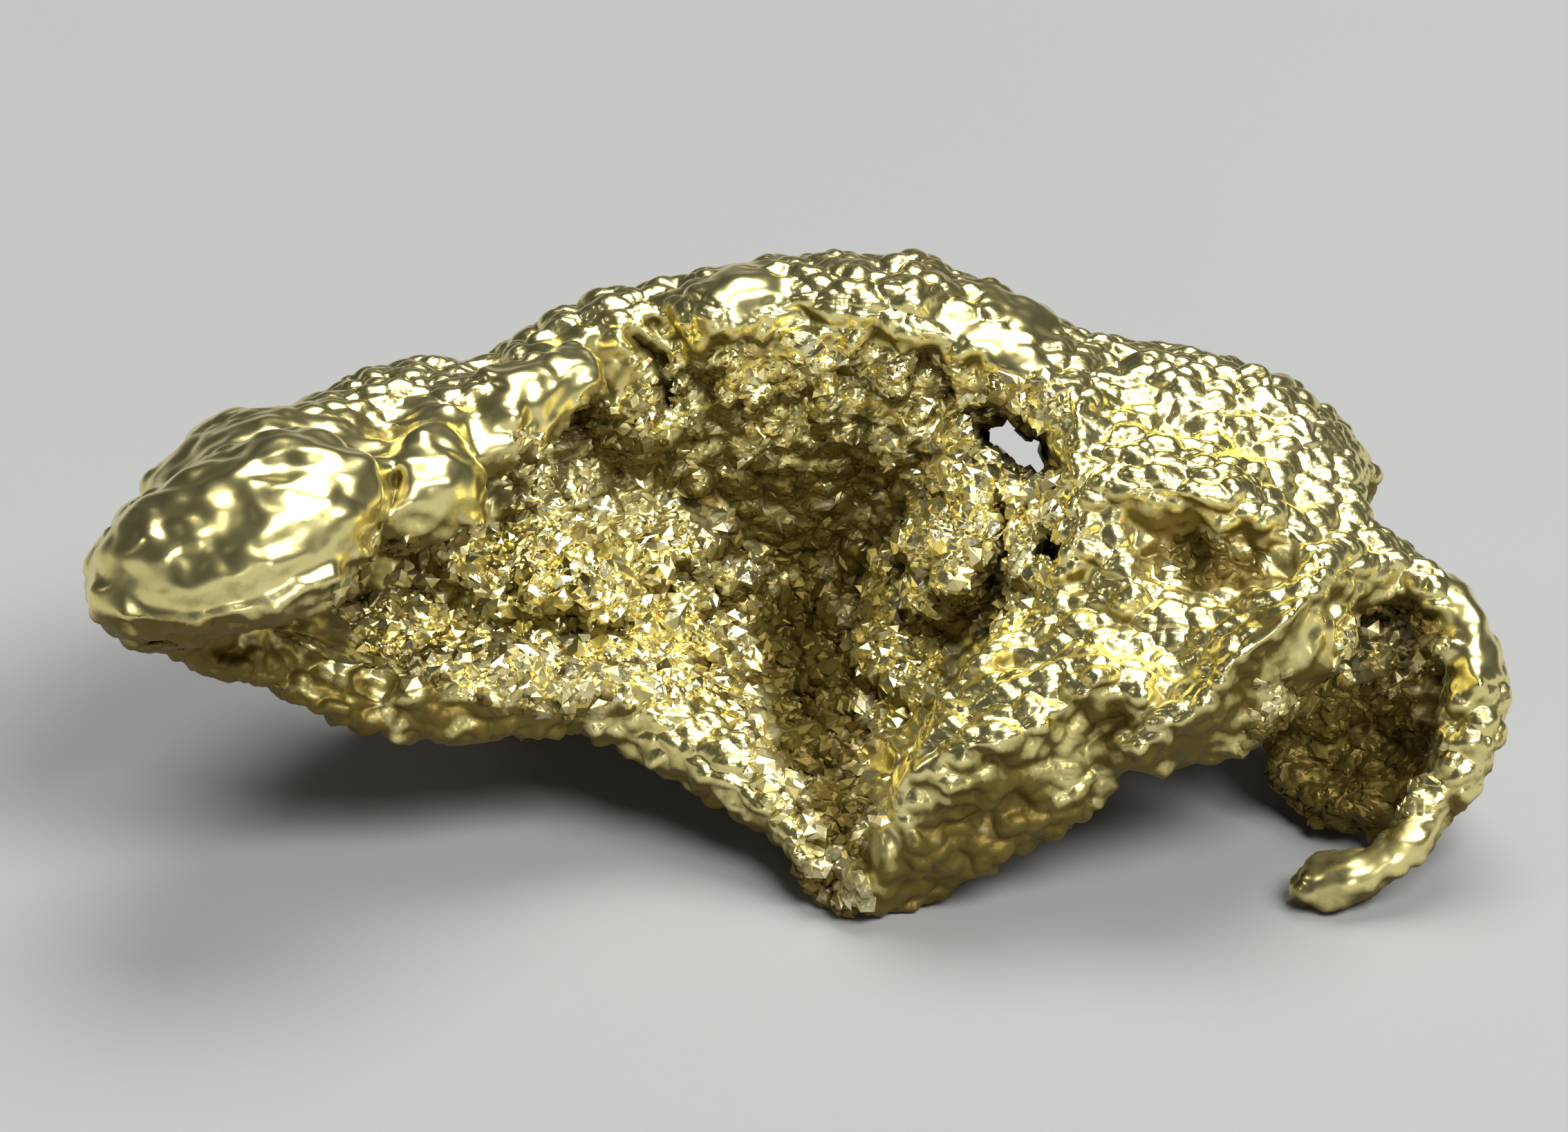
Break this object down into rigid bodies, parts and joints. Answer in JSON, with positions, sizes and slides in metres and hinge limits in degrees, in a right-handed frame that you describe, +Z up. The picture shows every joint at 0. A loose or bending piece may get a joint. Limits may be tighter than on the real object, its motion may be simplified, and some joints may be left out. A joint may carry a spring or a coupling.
{
  "type": "gold nugget",
  "caption": "Natural gold nugget: a thick leaf of metal folded into an open granular hollow, with a hood, a thin hooked end and worn, rolled edges.",
  "frame": {"origin": "middle of the underside of the nugget's box, on the surface it rests on", "axes": "+X along the nugget's length towards the hooked end, +Y away from the mouth of the hollow, +Z up"},
  "size_m": [0.02, 0.0092, 0.0073],
  "materials": {
    "gold": "bright native gold, rubbed smooth on the proud lobes and granular in the hollow"
  },
  "bodies": {
    "root": {"gold_nugget": "gold"}
  },
  "joints": []
}
